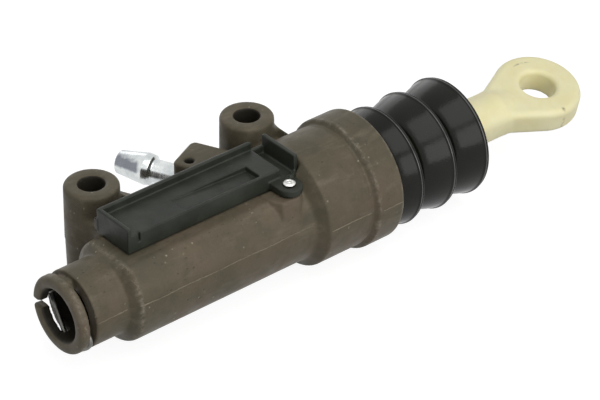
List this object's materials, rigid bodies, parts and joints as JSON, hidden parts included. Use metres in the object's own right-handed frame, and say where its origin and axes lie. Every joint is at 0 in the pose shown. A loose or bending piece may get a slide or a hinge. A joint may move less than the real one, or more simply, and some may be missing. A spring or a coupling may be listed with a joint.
{
  "type": "clutch master cylinder",
  "caption": "Hydraulic clutch master cylinder: moulded housing with bolt bosses, inlet nipple, outlet socket, sensor bracket, rubber bellows and a push rod with an eye.",
  "frame": {"origin": "centre of the front bolt hole on the face of its boss that is clamped to the bulkhead or pedal box", "axes": "+X along the bore from the outlet socket to the push rod's eye, -Z out of the clamped boss faces, +Y towards the inlet nipple's side"},
  "size_m": [0.2101, 0.072, 0.0436],
  "materials": {
    "phenolic": "matt moulded finish",
    "black_plastic": "satin moulded finish",
    "cream_plastic": "smooth moulded finish",
    "bellows_rubber": "satin rubber",
    "seal_rubber": "moist rubber",
    "zinc_plate": "bright zinc plate",
    "spring_steel": "drawn wire and pressed steel",
    "rivet_alloy": "formed rivet head",
    "grey_plastic": "fine moulded finish",
    "magnet_ferrite": "plastic-bound ferrite"
  },
  "bodies": {
    "housing": {"cylinder_body": "phenolic", "sensor_bracket": "black_plastic", "bracket_rivet": "rivet_alloy", "inlet_nipple": "zinc_plate", "inlet_seal_ring": "seal_rubber", "nipple_roll_pin": "spring_steel", "outlet_seal_ring": "seal_rubber", "spring_seat": "grey_plastic", "return_spring": "spring_steel", "cup_support_ring": "grey_plastic", "primary_cup": "seal_rubber", "inlet_spacer_ring": "grey_plastic", "secondary_cup": "seal_rubber", "guide_sleeve": "grey_plastic", "circlip": "spring_steel"},
    "piston_set": {"piston": "grey_plastic", "magnet_ring": "magnet_ferrite", "pushrod_retainer": "grey_plastic"},
    "pushrod": {"pushrod": "cream_plastic", "bellows": "bellows_rubber"},
    "wire_clip": {"outlet_wire_clip": "spring_steel"}
  },
  "joints": [
    {"name": "piston_slide", "type": "slide", "parent": "housing", "child": "piston_set", "axis": [-1, 0, 0], "range_m": [0, 0.03], "stiffness_N_per_m": 1500, "deforming": ["return_spring", "bellows"]},
    {"name": "pushrod_swivel", "type": "hinge", "parent": "piston_set", "child": "pushrod", "pos_m": [0.06, -0.0253, 0.0165], "axis": [0, 0, 1], "range_deg": [-3, 3], "stiffness_Nm_per_rad": 0.6, "deforming": ["bellows"]},
    {"name": "wire_clip_release", "type": "slide", "parent": "housing", "child": "wire_clip", "axis": [0, -0.4695, -0.8829], "range_m": [0, 0.004]}
  ]
}
